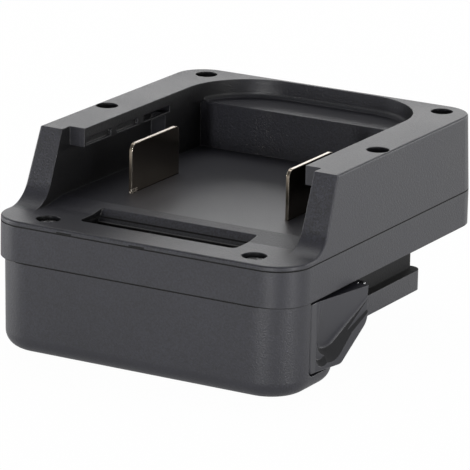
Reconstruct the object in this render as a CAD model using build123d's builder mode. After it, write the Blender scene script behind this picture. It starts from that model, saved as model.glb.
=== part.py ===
from build123d import *
import math
import os

os.makedirs("parts", exist_ok=True)

# Sizes in millimetres. X runs across the adapter, Y from the open front to the rear, Z up.
# The origin is under the middle of the adapter, level with the underside of the front box.

# Overall body
body_width = 79.4
body_length = 91.6
body_corner_radius = 8.4
box_height = 21.6
band_height = 8.5
lip_height = 1.2
wall_rise = 16.74
wall_draft_angle = 2.3
shell_wall = 2.2
fit_gap = 0.1
edge_round = 0.5
parting_chamfer = 0.15
overrun = 0.5
half_width = body_width / 2
front = -body_length / 2
rear = body_length / 2
box_top = box_height
band_floor = box_top + shell_wall
band_top = box_top + band_height
deck_top = band_top + lip_height
wall_top = deck_top + wall_rise

# Battery receiver in the upper casing
deck_thickness = 2.0
floor_step = 1.1
entry_length = 14.8
entry_slope_length = 6.9
side_wall_thickness = 6.7
rear_block_length = 14.0
groove_stop_length = 16.6
wall_setback = 21.4
wall_lean_angle = 22.0
wall_foot_radius = 7.5
rail_setback = 3.3
rail_rear_gap = 13.1
rail_overhang = 4.0
rail_thickness = 4.44
rail_notch_height = 1.9
rail_notch_depth = 0.7
rail_notch_lip = 0.4
rail_window_depth = 3.5
rail_notch_shares = [(0.018, 0.294), (0.357, 0.595)]
rail_window_shares = (0.661, 0.962)
nose_corner_radius = 17.5
nose_wall = 2.0
nose_foot_round = 1.2
casing_underside = deck_top - deck_thickness
bay_floor = deck_top + floor_step
bay_underside = bay_floor - deck_thickness
bay_half_width = half_width - side_wall_thickness
bay_back = rear - rear_block_length
groove_end = bay_back - groove_stop_length
floor_slope_start = front + entry_length
floor_slope_end = floor_slope_start + entry_slope_length
wall_front_top = front + wall_setback
rail_start = wall_front_top + rail_setback
rail_end = bay_back - rail_rear_gap
rail_half_gap = bay_half_width - rail_overhang
rail_underside = wall_top - rail_thickness
rail_notch_top = rail_underside + rail_notch_height
nose_back = rear - nose_wall

# Latch pocket in the deck
pocket_half_width = 20.4
pocket_setback = 8.5
pocket_length = 8.7
pocket_ramp_run = 1.9
pocket_ramp_drop = 2.1
pocket_step = 0.6
pocket_depth = 5.6
pocket_round = 1.6
tub_wall = 1.5
pocket_front = front + pocket_setback
pocket_ramp_foot = pocket_front + pocket_length
pocket_ramp_top = pocket_ramp_foot + pocket_ramp_run

# Contact blades and their carrier
blade_rail_gap = 8.3
blade_setback = 31.5
blade_length = 21.3
blade_height = 11.7
blade_thickness = 0.8
blade_corner = 1.8
blade_gap = 0.15
blade_tab_width = 4.0
blade_tab_inset = 4.0
carrier_side_wall = 4.3
carrier_end_wall = 2.0
blade_x = rail_half_gap - blade_rail_gap
blade_front = front + blade_setback
blade_back = blade_front + blade_length
blade_top = bay_floor + blade_height
carrier_half_width = blade_x + carrier_side_wall

# Circuit board, with its chips underneath
board_side_gap = 6.5
board_front_margin = 2.5
board_rear_gap = 3.6
board_thickness = 1.6
board_corner = 2.0
board_lift = 1.6
board_post_inset = 4.0
board_post_side_inset = 2.4
board_post_radius = 2.5
chip_size = 7.0
chip_height = 1.2
transistor_length = 9.0
transistor_width = 6.5
transistor_height = 2.0
transistor_x = 13.0
solder_gap = 0.05
board_half_width = half_width - shell_wall - board_side_gap
board_front = blade_front - board_front_margin
board_back = bay_back - board_rear_gap
board_bottom = band_floor + board_lift
board_top = board_bottom + board_thickness
board_post_x = board_half_width - board_post_side_inset
chip_y = (blade_front + blade_back) / 2

# Front box
box_length = 28.0
box_side_inset = 0.5
box_corner_radius = 10.0
box_bottom_round = 4.0
box_draft_angle = 0.65
box_floor = 2.4
box_half_width = half_width - box_side_inset
box_back = front + box_length

# Rail for the tool, under the rear
neck_side_inset = 11.2
neck_rear_inset = 13.4
flange_overhang = 2.5
flange_rear_overhang = 1.5
flange_thickness = 4.9
flange_corner = 2.7
tool_groove_height = 10.6
rail_wall = 2.2
rail_side_wall = 2.5
rail_front_wall = 2.9
contact_slot_width = 2.4
contact_slot_length = 15.2
contact_slot_drop = 5.3
power_slot_inset = 7.0
signal_slot_x = 6.0
neck_half_width = half_width - neck_side_inset
neck_back = rear - neck_rear_inset
flange_half_width = neck_half_width + flange_overhang
flange_back = neck_back + flange_rear_overhang
flange_top = box_top - tool_groove_height
flange_bottom = flange_top - flange_thickness
rail_front = box_back + fit_gap
rail_floor = flange_bottom + rail_wall
rail_hollow_front = rail_front + rail_front_wall
rail_hollow_half_width = neck_half_width - rail_side_wall
contact_slot_front = neck_back - contact_slot_length
contact_slot_top = box_top - contact_slot_drop
power_slot_x = rail_hollow_half_width - power_slot_inset

# Output contacts, the block that holds them, and their leads
fork_length = 9.0
fork_thickness = 0.5
fork_mouth = 0.9
fork_width = 3.6
fork_shoulder = 1.5
fork_mouth_height = 2.5
fork_setback = 1.0
fork_tab_width = 2.4
signal_fork_length = 6.0
contact_block_height = 9.8
contact_block_front_wall = 4.4
contact_cell_width = 4.4
contact_cell_wall = 1.6
contact_cell_lead = 1.6
power_lead_diameter = 1.8
signal_lead_diameter = 1.1
lead_bend_radius = 2.5
lead_block_gap = 2.0
lead_lift = 1.3
fork_front = contact_slot_front + fork_setback
contact_cell_front = fork_front - contact_cell_lead
contact_block_front = contact_cell_front - contact_block_front_wall
contact_block_back = neck_back - rail_wall - fit_gap
contact_block_top = rail_floor + contact_block_height
cell_ceiling = contact_block_top - contact_cell_wall
lead_rise_y = contact_block_front - lead_block_gap
lead_height = contact_block_top + lead_lift

# Squeeze buttons
button_setback = 10.35
button_overhang = 3.4
button_lift = 4.3
button_top_gap = 0.8
button_diagonal_run = 9.1
button_diagonal_rise = 8.1
button_corner = 1.5
button_low_corner = 2.0
button_rear_corner = 4.0
button_depth = 3.9
button_face_inset = 0.15
button_flare = 3.2
button_band = 2.65
button_gap = 0.4
button_travel = 2.5
button_round = 0.5
dish_front = 1.0
dish_depth_down = 15.3
dish_tilt_angle = 4.5
dish_diagonal_angle = 28.6
dish_corner = 1.6
dish_foot_round = 0.4
scoop_front = 2.0
scoop_depth_down = 16.0
scoop_tilt_angle = 10.0
scoop_diagonal_angle = 38.3
scoop_corner = 3.5
scoop_foot_round = 1.2
dish_wall_angle = 45.0
bay_clearance = 0.5
bay_wall = 1.6
stem_half_size = 4.0
stem_rear_distance = 9.8
stem_rise = 0.85
stem_length = 11.3
window_gap = 0.3
ear_length = 1.7
ear_reach = 0.8
ear_half_height = 3.0
ear_gap = 0.3
spring_pocket_radius = 2.9
spring_pocket_depth = 5.0
spring_reach = 10.0
spring_radius = 2.1
spring_wire = 0.5
spring_turns = 6
spring_end_share = 0.6
seat_thickness = 1.6
seat_half_width = 4.8
seat_post_radius = 1.5
seat_post_length = 2.5
button_front = front + button_setback
button_back = box_back + button_overhang
button_top = box_top - button_top_gap
button_bottom = button_lift
button_diagonal_low = button_back - button_diagonal_run
button_diagonal_top = button_bottom + button_diagonal_rise
button_inner_x = box_half_width - button_depth
button_face_x = box_half_width - button_face_inset
button_tip_x = box_half_width + button_flare
button_flare_start = button_front + button_band
button_slope = (button_tip_x - button_face_x) / (button_back - button_flare_start)
bay_inner_x = button_inner_x - button_travel - bay_clearance
stem_y = box_back - stem_rear_distance
stem_z = (button_bottom + button_top) / 2 + stem_rise
stem_end_x = button_inner_x - stem_length
spring_pocket_x = stem_end_x + spring_pocket_depth
spring_seat_x = stem_end_x - spring_reach

# Latch hooks
hook_thickness = 1.5
hook_height = 3.0
hook_top_gap = 1.6
hook_front_gap = 10.4
hook_reach = 6.8
hook_tip_inset = 1.0
hook_tip_length = 1.6
hook_pin_radius = 0.8
hook_pin_inset = 3.5
hook_pin_length = 3.6
pin_fit = 0.03
hook_inner_x = button_inner_x + fit_gap
hook_outer_x = hook_inner_x + hook_thickness
hook_tip_x = box_half_width - hook_tip_inset
hook_top = button_top - hook_top_gap
hook_bottom = hook_top - hook_height
hook_middle_z = (hook_bottom + hook_top) / 2
hook_front = button_back - hook_front_gap
hook_back = button_back + hook_reach
hook_pin_y = hook_front + hook_pin_inset

# Screws
screw_head_radius = 2.35
screw_head_height = 1.7
screw_shank_radius = 1.25
screw_pilot_gap = 0.05
screw_clear_gap = 0.3
boss_radius = 3.2
boss_pilot_depth = 18.0
cross_width = 0.7
cross_length = 2.9
cross_depth = 0.9
deck_screw_side_inset = 12.86
deck_screw_setback = 6.0
deck_counterbore_radius = 2.85
deck_screw_sink = 1.0
deck_screw_length = 17.0
wall_screw_inset = 3.74
rear_screw_side_inset = 7.74
rear_screw_rear_inset = 6.4
top_counterbore_radius = 2.65
top_screw_sink = 2.0
top_screw_length = 20.0
box_screw_x = 8.0
box_screw_rear_distance = 4.2
box_screw_cone_height = 1.3
box_screw_length = 9.0
board_screw_radius = 1.0
board_screw_head_radius = 1.9
board_screw_head_height = 1.2
board_screw_length = 5.2
pilot_radius = screw_shank_radius + screw_pilot_gap
clear_radius = screw_shank_radius + screw_clear_gap
deck_screw_x = half_width - deck_screw_side_inset
deck_screw_y = front + deck_screw_setback
wall_screw_x = half_width - wall_screw_inset
wall_screw_y = 0.0
rear_screw_x = half_width - rear_screw_side_inset
rear_screw_y = rear - rear_screw_rear_inset
box_screw_y = box_back - box_screw_rear_distance


def block(x_low, x_high, y_low, y_high, z_low, z_high, mode=Mode.ADD):
    centre = ((x_low + x_high) / 2, (y_low + y_high) / 2, (z_low + z_high) / 2)
    with Locations(centre):
        Box(x_high - x_low, y_high - y_low, z_high - z_low, mode=mode)


def post(x, y, z_low, z_high, radius, mode=Mode.ADD):
    with Locations((x, y, (z_low + z_high) / 2)):
        Cylinder(radius, z_high - z_low, mode=mode)


def countersink(x, y, top, gap, mode=Mode.ADD):
    with Locations((x, y, top - box_screw_cone_height / 2)):
        Cone(
            screw_shank_radius + gap, screw_head_radius + gap, box_screw_cone_height, mode=mode
        )


def cross_post(x_low, x_high, y, z, radius, mode=Mode.ADD):
    with Locations(Location(((x_low + x_high) / 2, y, z), (0, 90, 0))):
        Cylinder(radius, x_high - x_low, mode=mode)


def sunk_hole(x, y, surface, counterbore_radius, sink):
    seat = surface - sink - screw_head_height
    post(x, y, seat, surface + overrun, counterbore_radius, Mode.SUBTRACT)
    post(x, y, band_floor, seat, clear_radius, Mode.SUBTRACT)


def screw(x, y, head_top, length, head_radius, head_height, shank_radius):
    post(x, y, head_top - head_height, head_top, head_radius)
    post(x, y, head_top - head_height - length, head_top - head_height, shank_radius)
    half_long = cross_length / 2 * head_radius / screw_head_radius
    half_short = cross_width / 2
    for half_x, half_y in ((half_long, half_short), (half_short, half_long)):
        block(
            x - half_x, x + half_x, y - half_y, y + half_y,
            head_top - cross_depth, head_top, Mode.SUBTRACT,
        )


# Latch pocket: upright front, a small step and a leaning rear face
with BuildPart() as pocket_space:
    ramp_lean = (pocket_ramp_top - pocket_ramp_foot) / (pocket_ramp_drop + bay_floor - deck_top)
    pocket_ceiling = bay_floor + overrun
    pocket_back = pocket_ramp_top + ramp_lean * overrun
    with BuildSketch(Plane.YZ):
        with BuildLine():
            Polyline(
                (pocket_front, pocket_ceiling),
                (pocket_front, deck_top - pocket_depth),
                (pocket_ramp_foot - pocket_step, deck_top - pocket_depth),
                (pocket_ramp_foot - pocket_step, deck_top - pocket_ramp_drop),
                (pocket_ramp_foot, deck_top - pocket_ramp_drop),
                (pocket_back, pocket_ceiling),
                close=True,
            )
        make_face()
    extrude(amount=pocket_half_width, both=True)
    with BuildSketch(Plane.XY.offset(deck_top - pocket_depth)):
        with Locations((0, (pocket_front + pocket_back) / 2)):
            RectangleRounded(2 * pocket_half_width, pocket_back - pocket_front, pocket_round)
    extrude(amount=pocket_depth + pocket_ceiling - deck_top, mode=Mode.INTERSECT)


# Upper casing: deck, two side walls with inward rails, battery bay and nose recess
with BuildPart() as upper_casing:
    with BuildSketch(Plane.XY.offset(band_top)):
        RectangleRounded(body_width, body_length, body_corner_radius)
    extrude(amount=wall_top - band_top, taper=wall_draft_angle)

    # The walls lean back at the front and run out into the deck with a wide round
    lean = math.radians(wall_lean_angle)
    wall_foot = wall_front_top - wall_rise * math.tan(lean)
    tangent_run = wall_foot_radius * math.tan((math.pi / 2 - lean) / 2)
    round_start = (wall_foot - tangent_run, deck_top)
    round_end = (wall_foot + tangent_run * math.sin(lean), deck_top + tangent_run * math.cos(lean))
    clear_height = wall_top + overrun
    with BuildSketch(Plane.YZ):
        with BuildLine():
            Line((front - overrun, deck_top), round_start)
            TangentArc(round_start, round_end, tangent=(1, 0))
            Polyline(
                round_end,
                (wall_front_top + overrun * math.tan(lean), clear_height),
                (front - overrun, clear_height),
                (front - overrun, deck_top),
            )
        make_face()
    extrude(amount=body_width, both=True, mode=Mode.SUBTRACT)

    # Soft outer edge along the deck, the leaning ends and the wall tops
    outline_edges = upper_casing.edges().filter_by(
        lambda edge: edge.center().Z > band_top + edge_round
        and edge.bounding_box().size.X < body_width - body_corner_radius
        and edge.bounding_box().max.Z > deck_top - fit_gap
        and edge.bounding_box().min.Z > band_top + fit_gap
    )
    fillet(outline_edges, edge_round)
    chamfer(upper_casing.faces().sort_by(Axis.Z)[0].edges(), parting_chamfer)

    # Locating step that sits inside the band below
    step_inset = shell_wall + fit_gap
    with BuildSketch(Plane.XY.offset(casing_underside)):
        RectangleRounded(
            body_width - 2 * step_inset, body_length - 2 * step_inset, body_corner_radius - step_inset
        )
    extrude(amount=band_top - casing_underside)

    # Battery bay between the walls, with its sloped entry and the grooves under the rails
    with BuildSketch(Plane.YZ):
        with BuildLine():
            Polyline(
                (front, deck_top),
                (floor_slope_start, deck_top),
                (floor_slope_end, bay_floor),
                (groove_end, bay_floor),
                (groove_end, rail_underside),
                (front, rail_underside),
                close=True,
            )
        make_face()
    extrude(amount=bay_half_width, both=True, mode=Mode.SUBTRACT)
    block(-bay_half_width, bay_half_width, front, rail_start, rail_underside, clear_height, Mode.SUBTRACT)
    block(
        -rail_half_gap, rail_half_gap, floor_slope_end, bay_back, bay_floor, rail_underside, Mode.SUBTRACT
    )

    # Opening between the rails, widening into the recess for the battery's nose
    nose_side_end = nose_back - nose_corner_radius
    nose_rear_half = rail_half_gap - nose_corner_radius
    with BuildSketch(Plane.XY.offset(rail_underside)):
        with BuildLine():
            Polyline(
                (-rail_half_gap, nose_side_end),
                (-rail_half_gap, front),
                (rail_half_gap, front),
                (rail_half_gap, nose_side_end),
            )
            TangentArc((rail_half_gap, nose_side_end), (nose_rear_half, nose_back), tangent=(0, 1))
            Line((nose_rear_half, nose_back), (-nose_rear_half, nose_back))
            TangentArc((-nose_rear_half, nose_back), (-rail_half_gap, nose_side_end), tangent=(-1, 0))
        make_face()
    extrude(amount=clear_height - rail_underside, mode=Mode.SUBTRACT)
    nose_foot = upper_casing.edges().filter_by(
        lambda edge: abs(edge.center().Z - rail_underside) < fit_gap
        and edge.center().Y > bay_back + fit_gap
    )
    fillet(nose_foot, nose_foot_round)

    # Two shallow notches and one deep window along the lower edge of each rail
    rail_length = rail_end - rail_start
    notch_floor = rail_underside + rail_notch_lip
    window_front = rail_start + rail_window_shares[0] * rail_length
    window_back = rail_start + rail_window_shares[1] * rail_length
    for side in (-1, 1):
        notch_middle = side * (rail_half_gap + rail_notch_depth / 2)
        for start_share, end_share in rail_notch_shares:
            block(
                notch_middle - rail_notch_depth / 2, notch_middle + rail_notch_depth / 2,
                rail_start + start_share * rail_length, rail_start + end_share * rail_length,
                notch_floor, rail_notch_top, Mode.SUBTRACT,
            )
        window_middle = side * (rail_half_gap + rail_window_depth / 2)
        block(
            window_middle - rail_window_depth / 2, window_middle + rail_window_depth / 2,
            window_front, window_back, notch_floor, rail_notch_top, Mode.SUBTRACT,
        )
        opening_inner = side * (rail_half_gap + rail_notch_depth)
        opening_outer = side * (rail_half_gap + rail_window_depth)
        block(
            min(opening_inner, opening_outer), max(opening_inner, opening_outer),
            window_front, groove_end, rail_underside, notch_floor, Mode.SUBTRACT,
        )

    # Hollow underside below the bay floor and inside the rear block
    block(
        -bay_half_width + shell_wall, bay_half_width - shell_wall, floor_slope_end, bay_back + shell_wall,
        casing_underside, bay_underside, Mode.SUBTRACT,
    )
    block(
        -rail_half_gap + shell_wall, rail_half_gap - shell_wall,
        bay_back + shell_wall, nose_back - 2 * shell_wall,
        casing_underside, rail_underside - shell_wall, Mode.SUBTRACT,
    )

    # Closed tub round the latch pocket, and bosses for the deck screws
    tub_half_width = pocket_half_width + tub_wall
    tub_bottom = deck_top - pocket_depth - tub_wall
    block(
        -tub_half_width, tub_half_width, pocket_front - tub_wall, pocket_ramp_top + tub_wall,
        tub_bottom, casing_underside + overrun,
    )
    for side in (-1, 1):
        post(
            side * deck_screw_x, deck_screw_y, band_floor + fit_gap, casing_underside + overrun,
            boss_radius,
        )
    add(pocket_space.part, mode=Mode.SUBTRACT)

    # Slots for the contact blades
    for side in (-1, 1):
        slot_half = blade_thickness / 2 + blade_gap
        block(
            side * blade_x - slot_half, side * blade_x + slot_half, blade_front - blade_gap,
            blade_back + blade_gap, bay_underside, bay_floor, Mode.SUBTRACT,
        )

    # Sunk screw holes
    for side in (-1, 1):
        sunk_hole(side * deck_screw_x, deck_screw_y, deck_top, deck_counterbore_radius, deck_screw_sink)
        sunk_hole(side * wall_screw_x, wall_screw_y, wall_top, top_counterbore_radius, top_screw_sink)
        sunk_hole(side * rear_screw_x, rear_screw_y, wall_top, top_counterbore_radius, top_screw_sink)

upper_casing.part.label = "upper_casing"
export_step(upper_casing.part, "parts/upper_casing.step")


# Lower casing: the middle band with its floor, and the hollow rail for the tool
with BuildPart() as lower_casing:
    with BuildSketch(Plane.XY.offset(box_top)):
        RectangleRounded(body_width, body_length, body_corner_radius)
    extrude(amount=band_height)
    band_faces = lower_casing.faces().sort_by(Axis.Z)
    chamfer(band_faces[0].edges() + band_faces[-1].edges(), parting_chamfer)
    with BuildSketch(Plane.XY.offset(band_floor)):
        RectangleRounded(
            body_width - 2 * shell_wall, body_length - 2 * shell_wall, body_corner_radius - shell_wall
        )
    extrude(amount=band_top - band_floor, mode=Mode.SUBTRACT)

    # Rail: a neck with a wider flange below it, both behind the front box
    flange_side_end = flange_back - flange_corner
    flange_rear_half = flange_half_width - flange_corner
    block(-neck_half_width, neck_half_width, rail_front, neck_back, flange_bottom, band_floor)
    with BuildSketch(Plane.XY.offset(flange_bottom)):
        with BuildLine():
            Polyline(
                (-flange_half_width, flange_side_end),
                (-flange_half_width, rail_front),
                (flange_half_width, rail_front),
                (flange_half_width, flange_side_end),
            )
            TangentArc((flange_half_width, flange_side_end), (flange_rear_half, flange_back), tangent=(0, 1))
            Line((flange_rear_half, flange_back), (-flange_rear_half, flange_back))
            TangentArc(
                (-flange_rear_half, flange_back), (-flange_half_width, flange_side_end), tangent=(-1, 0)
            )
        make_face()
    extrude(amount=flange_top - flange_bottom)
    block(
        -rail_hollow_half_width, rail_hollow_half_width, rail_hollow_front, neck_back - rail_wall,
        rail_floor, band_floor, Mode.SUBTRACT,
    )

    # Slots through which the tool's contacts reach the forks
    for slot_x in (-power_slot_x, -signal_slot_x, signal_slot_x, power_slot_x):
        block(
            slot_x - contact_slot_width / 2, slot_x + contact_slot_width / 2, contact_slot_front,
            flange_back, flange_bottom, contact_slot_top, Mode.SUBTRACT,
        )

    # Bosses for the wall and rear screws, kept inside the band's outline
    for side in (-1, 1):
        post(side * wall_screw_x, wall_screw_y, band_floor, casing_underside, boss_radius)
        post(side * rear_screw_x, rear_screw_y, band_floor, casing_underside, boss_radius)
    with BuildSketch(Plane.XY.offset(flange_bottom)):
        RectangleRounded(body_width, body_length, body_corner_radius)
    extrude(amount=band_top - flange_bottom, mode=Mode.INTERSECT)

    # Screw holes, and posts for the circuit board
    for side in (-1, 1):
        post(side * wall_screw_x, wall_screw_y, casing_underside, band_top, clear_radius, Mode.SUBTRACT)
        post(side * wall_screw_x, wall_screw_y, band_floor, casing_underside, pilot_radius, Mode.SUBTRACT)
        post(side * rear_screw_x, rear_screw_y, band_floor, casing_underside, pilot_radius, Mode.SUBTRACT)
        post(side * deck_screw_x, deck_screw_y, box_top, band_floor, clear_radius, Mode.SUBTRACT)
        countersink(side * box_screw_x, box_screw_y, band_floor, solder_gap, Mode.SUBTRACT)
        post(side * box_screw_x, box_screw_y, box_top, band_floor, clear_radius, Mode.SUBTRACT)
        for post_y in (board_front + board_post_inset, board_back - board_post_inset):
            post(side * board_post_x, post_y, band_floor, board_bottom, board_post_radius)
            post(
                side * board_post_x, post_y, box_top + fit_gap, board_bottom,
                board_screw_radius + screw_pilot_gap, Mode.SUBTRACT,
            )

lower_casing.part.label = "lower_casing"
export_step(lower_casing.part, "parts/lower_casing.step")


# Space for a squeeze button in the side of the front box, open at the top and the rear
with BuildPart() as button_bay:
    with BuildSketch(Plane.YZ.offset(bay_inner_x)) as bay_outline:
        bay_front = button_front - button_gap
        bay_bottom = button_bottom - button_gap
        with BuildLine():
            Polyline(
                (bay_front, box_top),
                (bay_front, bay_bottom),
                (box_back + fit_gap, bay_bottom),
                (box_back + fit_gap, box_top),
                close=True,
            )
        make_face()
        fillet(bay_outline.vertices().sort_by_distance((bay_front, bay_bottom))[0], button_corner + button_gap)
    extrude(amount=box_half_width - bay_inner_x + fit_gap)
    window_half = stem_half_size + window_gap
    block(
        bay_inner_x - bay_wall - fit_gap, bay_inner_x, stem_y - window_half, stem_y + window_half,
        stem_z - window_half, box_top,
    )


# Front box: a tapered tub with a button bay in each side
with BuildPart() as front_box:
    with BuildSketch(Plane.XY.offset(box_top)):
        with Locations((0, (front + box_back) / 2)):
            RectangleRounded(2 * box_half_width, box_length, box_corner_radius)
    extrude(amount=-box_height, taper=box_draft_angle)
    chamfer(front_box.faces().sort_by(Axis.Z)[-1].edges(), parting_chamfer)
    fillet(front_box.faces().sort_by(Axis.Z)[0].edges(), box_bottom_round)

    # Inside of the tub, between the two bays
    tub_inner_x = bay_inner_x - bay_wall
    block(
        -tub_inner_x, tub_inner_x, front + shell_wall, box_back - shell_wall, box_floor, box_top,
        Mode.SUBTRACT,
    )
    add(button_bay.part, mode=Mode.SUBTRACT)
    mirror(button_bay.part, about=Plane.YZ, mode=Mode.SUBTRACT)

    # Seats for the button springs, and bosses for the screws
    for side in (-1, 1):
        seat_middle = side * (spring_seat_x - seat_thickness / 2)
        block(
            seat_middle - seat_thickness / 2, seat_middle + seat_thickness / 2,
            stem_y - seat_half_width, box_back - shell_wall, box_floor, stem_z + stem_half_size,
        )
        for boss_x, boss_y in ((deck_screw_x, deck_screw_y), (box_screw_x, box_screw_y)):
            post(side * boss_x, boss_y, box_floor, box_top, boss_radius)
            post(
                side * boss_x, boss_y, box_top - boss_pilot_depth, box_top, pilot_radius,
                Mode.SUBTRACT,
            )
        post_middle = side * (spring_seat_x + seat_post_length / 2)
        cross_post(
            post_middle - seat_post_length / 2, post_middle + seat_post_length / 2, stem_y, stem_z,
            seat_post_radius,
        )

front_box.part.label = "front_box"
export_step(front_box.part, "parts/front_box.step")


# One scoop of the thumb dish: its floor sinks downwards, its walls lean out, its rear is open
def thumb_scoop(floor_front, depth_down, tilt_angle, diagonal_angle, corner_radius, foot_round):
    flare_along = Vector(button_slope, 1, 0).normalized()
    flare_out = Vector(1, -button_slope, 0).normalized()
    tilt = math.radians(tilt_angle)
    floor_out = flare_out * math.cos(tilt) - Vector(0, 0, 1) * math.sin(tilt)
    floor_plane = Plane(
        origin=(button_face_x, button_flare_start, button_top), x_dir=flare_along, z_dir=floor_out
    )
    floor_back = button_back - button_flare_start + button_low_corner
    diagonal_rise = (floor_back - floor_front) * math.tan(math.radians(diagonal_angle))
    with BuildPart() as scoop:
        with BuildSketch(floor_plane) as floor_outline:
            with BuildLine():
                Polyline(
                    (floor_front, button_round),
                    (floor_front, -depth_down),
                    (floor_back, diagonal_rise - depth_down),
                    (floor_back, button_round),
                    close=True,
                )
            make_face()
            low_corner = floor_outline.vertices().sort_by_distance((floor_front, -depth_down))[0]
            fillet(low_corner, corner_radius)
        extrude(amount=button_rear_corner, taper=-dish_wall_angle)
        scoop_floor = scoop.faces().sort_by(Axis(floor_plane.origin, floor_plane.z_dir))[0]
        foot_edges = scoop_floor.edges().filter_by(
            lambda edge: edge.center().Z < button_top and edge.center().Y < button_back
        )
        fillet(foot_edges, foot_round)
    return scoop.part


# Squeeze button on the right: a flared thumb piece on a stem that is guided in the box
with BuildPart() as right_button:
    with BuildSketch(Plane.YZ.offset(button_inner_x)) as button_outline:
        with BuildLine():
            Polyline(
                (button_front, button_top),
                (button_front, button_bottom),
                (button_diagonal_low, button_bottom),
                (button_back, button_diagonal_top),
                (button_back, button_top),
                close=True,
            )
        make_face()
        corners = (
            ((button_front, button_bottom), button_corner),
            ((button_diagonal_low, button_bottom), button_low_corner),
            ((button_back, button_diagonal_top), button_rear_corner),
        )
        for corner, radius in corners:
            fillet(button_outline.vertices().sort_by_distance(corner)[0], radius)
    extrude(amount=button_tip_x - button_inner_x + button_round)

    # The outer face runs level with the box at the front and flares out towards the rear
    with BuildSketch(Plane.XY.offset(button_bottom)):
        beyond = button_back + button_round
        with BuildLine():
            Polyline(
                (button_inner_x, button_front - button_round),
                (button_face_x, button_front - button_round),
                (button_face_x, button_flare_start),
                (button_tip_x + button_slope * button_round, beyond),
                (button_inner_x, beyond),
                close=True,
            )
        make_face()
    extrude(amount=button_top - button_bottom, mode=Mode.INTERSECT)
    outer_edges = right_button.edges().filter_by(
        lambda edge: edge.center().X > button_face_x - fit_gap and edge.center().Z < button_top - fit_gap
    )
    rim_edges = outer_edges.filter_by(lambda edge: abs(edge.center().Y - button_flare_start) > fit_gap)
    fillet(rim_edges, button_round)
    shallow_scoop = thumb_scoop(
        dish_front, dish_depth_down, dish_tilt_angle, dish_diagonal_angle, dish_corner, dish_foot_round
    )
    deep_scoop = thumb_scoop(
        scoop_front, scoop_depth_down, scoop_tilt_angle, scoop_diagonal_angle, scoop_corner, scoop_foot_round
    )
    add(shallow_scoop, mode=Mode.SUBTRACT)
    add(deep_scoop, mode=Mode.SUBTRACT)

    # Stem with ears that stop it behind the bay's wall, and a pocket for the spring
    block(
        stem_end_x, button_inner_x + fit_gap, stem_y - stem_half_size, stem_y + stem_half_size,
        stem_z - stem_half_size, stem_z + stem_half_size,
    )
    ear_outer_x = bay_inner_x - bay_wall - ear_gap
    block(
        ear_outer_x - ear_length, ear_outer_x,
        stem_y - stem_half_size - ear_reach, stem_y + stem_half_size + ear_reach,
        stem_z - ear_half_height, stem_z + ear_half_height,
    )
    cross_post(stem_end_x, spring_pocket_x, stem_y, stem_z, spring_pocket_radius, Mode.SUBTRACT)

    # Recess and pin hole for the latch hook
    block(
        button_inner_x, hook_outer_x + solder_gap, hook_front - solder_gap, button_back,
        hook_bottom - solder_gap, hook_top + solder_gap, Mode.SUBTRACT,
    )
    cross_post(
        hook_inner_x, hook_inner_x + hook_pin_length + fit_gap, hook_pin_y, hook_middle_z,
        hook_pin_radius + pin_fit, Mode.SUBTRACT,
    )

right_button.part.label = "right_button"
export_step(right_button.part, "parts/right_button.step")


# Squeeze button on the left
with BuildPart() as left_button:
    mirror(right_button.part, about=Plane.YZ)

left_button.part.label = "left_button"
export_step(left_button.part, "parts/left_button.step")


# Latch hook on the right button: a steel strip with an outward tip in the rail's groove
with BuildPart() as right_latch_hook:
    tip_start = hook_back - hook_tip_length
    with BuildSketch(Plane.XY.offset(hook_bottom)):
        with BuildLine():
            Polyline(
                (hook_inner_x, hook_front),
                (hook_outer_x, hook_front),
                (hook_outer_x, tip_start),
                (hook_tip_x, tip_start),
                (hook_tip_x, tip_start + hook_tip_length / 2),
                (hook_outer_x, hook_back),
                (hook_inner_x, hook_back),
                close=True,
            )
        make_face()
    extrude(amount=hook_top - hook_bottom)
    cross_post(
        hook_inner_x, hook_outer_x, hook_pin_y, hook_middle_z, hook_pin_radius + pin_fit, Mode.SUBTRACT
    )

right_latch_hook.part.label = "right_latch_hook"
export_step(right_latch_hook.part, "parts/right_latch_hook.step")


# Latch hook on the left button
with BuildPart() as left_latch_hook:
    mirror(right_latch_hook.part, about=Plane.YZ)

left_latch_hook.part.label = "left_latch_hook"
export_step(left_latch_hook.part, "parts/left_latch_hook.step")


# Pins that hold the hooks in the buttons
with BuildPart() as right_hook_pin:
    cross_post(hook_inner_x, hook_inner_x + hook_pin_length, hook_pin_y, hook_middle_z, hook_pin_radius)

right_hook_pin.part.label = "right_hook_pin"
export_step(right_hook_pin.part, "parts/right_hook_pin.step")

with BuildPart() as left_hook_pin:
    mirror(right_hook_pin.part, about=Plane.YZ)

left_hook_pin.part.label = "left_hook_pin"
export_step(left_hook_pin.part, "parts/left_hook_pin.step")


# Compression spring between the right button's stem and its seat, wound closer at both ends
with BuildPart() as right_button_spring:
    wire_radius = spring_wire / 2
    coil_start = spring_seat_x + wire_radius
    coil_length = spring_pocket_x - spring_seat_x - spring_wire
    points_per_turn = 12
    wire_side_count = 6
    spring_points = []
    for step in range(spring_turns * points_per_turn + 1):
        share = step / (spring_turns * points_per_turn)
        angle = 2 * math.pi * spring_turns * share
        end_closing = spring_end_share * math.sin(2 * math.pi * share) / (2 * math.pi)
        spring_points.append((
            coil_start + coil_length * (share - end_closing),
            stem_y + spring_radius * math.cos(angle),
            stem_z + spring_radius * math.sin(angle),
        ))
    with BuildLine() as coil:
        Spline(*spring_points)
    with BuildSketch(Plane(origin=coil.line @ 0, z_dir=coil.line % 0)):
        RegularPolygon(wire_radius, wire_side_count)
    sweep(path=coil.line, is_frenet=True)

right_button_spring.part.label = "right_button_spring"
export_step(right_button_spring.part, "parts/right_button_spring.step")


# Spring of the left button
with BuildPart() as left_button_spring:
    mirror(right_button_spring.part, about=Plane.YZ)

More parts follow.
